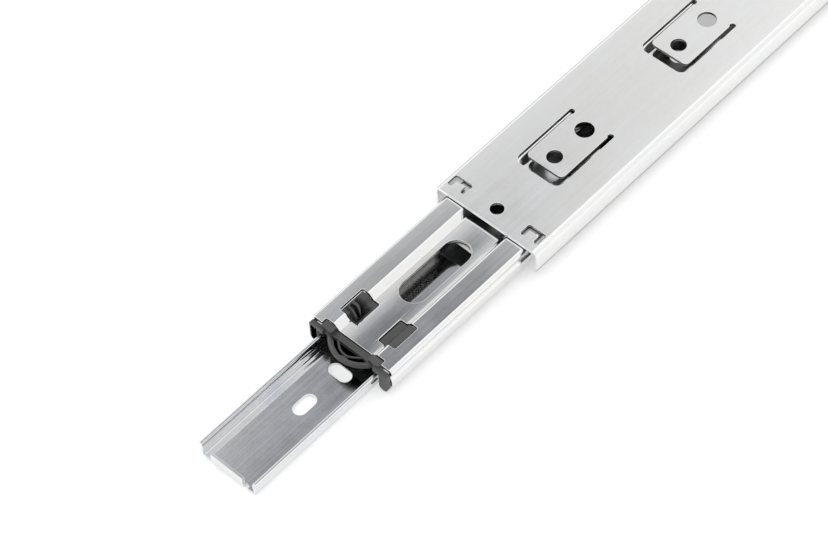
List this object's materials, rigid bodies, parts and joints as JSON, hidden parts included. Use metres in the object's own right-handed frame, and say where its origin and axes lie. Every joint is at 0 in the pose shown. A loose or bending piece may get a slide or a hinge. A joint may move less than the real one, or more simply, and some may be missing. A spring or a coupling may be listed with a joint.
{
  "type": "drawer slide",
  "caption": "Telescopic ball-bearing drawer slide: cabinet, intermediate and drawer members, ball retainers, end bumpers and release lever, partly extended.",
  "frame": {"origin": "middle of the slide's overall box at its drawn extension, on the drawer-side face", "axes": "+X the way the drawer opens, +Z towards the cabinet wall, +Y across the slide"},
  "size_m": [0.3748, 0.0456, 0.0127],
  "materials": {
    "zinc_sheet": "bright zinc plated sheet, satin, faint rolling lines",
    "retainer_strip": "thin zinc plated strip, satin",
    "ball_steel": "polished bearing steel",
    "black_plastic": "moulded black plastic, satin"
  },
  "bodies": {
    "cabinet_side": {"outer_member": "zinc_sheet", "rear_bumper": "black_plastic"},
    "middle_side": {"intermediate_member": "zinc_sheet", "front_bumper": "black_plastic"},
    "drawer_side": {"inner_member": "zinc_sheet", "lever_rivet": "retainer_strip"},
    "outer_cage": {"outer_ball_retainer_left": "retainer_strip", "outer_ball_retainer_right": "retainer_strip", "outer_ball_01": "ball_steel", "outer_ball_02": "ball_steel", "outer_ball_03": "ball_steel", "outer_ball_04": "ball_steel", "outer_ball_05": "ball_steel", "outer_ball_06": "ball_steel", "outer_ball_07": "ball_steel", "outer_ball_08": "ball_steel", "outer_ball_09": "ball_steel", "outer_ball_10": "ball_steel", "outer_ball_11": "ball_steel", "outer_ball_12": "ball_steel", "outer_ball_13": "ball_steel", "outer_ball_14": "ball_steel", "outer_ball_15": "ball_steel", "outer_ball_16": "ball_steel"},
    "inner_cage": {"inner_ball_retainer": "retainer_strip", "inner_ball_01": "ball_steel", "inner_ball_02": "ball_steel", "inner_ball_03": "ball_steel", "inner_ball_04": "ball_steel", "inner_ball_05": "ball_steel", "inner_ball_06": "ball_steel", "inner_ball_07": "ball_steel", "inner_ball_08": "ball_steel", "inner_ball_09": "ball_steel", "inner_ball_10": "ball_steel", "inner_ball_11": "ball_steel", "inner_ball_12": "ball_steel", "inner_ball_13": "ball_steel", "inner_ball_14": "ball_steel", "inner_ball_15": "ball_steel", "inner_ball_16": "ball_steel"},
    "lever": {"disconnect_lever": "black_plastic"}
  },
  "joints": [
    {"name": "middle_slide", "type": "slide", "parent": "cabinet_side", "child": "middle_side", "axis": [1, 0, 0], "range_m": [-0.0697, 0.059]},
    {"name": "outer_cage_slide", "type": "slide", "parent": "cabinet_side", "child": "outer_cage", "axis": [1, 0, 0], "range_m": [-0.03485, 0.0295]},
    {"name": "drawer_slide", "type": "slide", "parent": "middle_side", "child": "drawer_side", "axis": [1, 0, 0], "range_m": [-0.0531, 0.066]},
    {"name": "inner_cage_slide", "type": "slide", "parent": "middle_side", "child": "inner_cage", "axis": [1, 0, 0], "range_m": [-0.02655, 0.033]},
    {"name": "lever_turn", "type": "hinge", "parent": "drawer_side", "child": "lever", "pos_m": [0.0174, 0, 0.00275], "axis": [0, 0, 1], "range_deg": [-8, 8], "stiffness_Nm_per_rad": 0.02}
  ],
  "couplings": [
    {"joint": "outer_cage_slide", "follows": "middle_slide", "ratio": 0.5},
    {"joint": "inner_cage_slide", "follows": "drawer_slide", "ratio": 0.5}
  ]
}
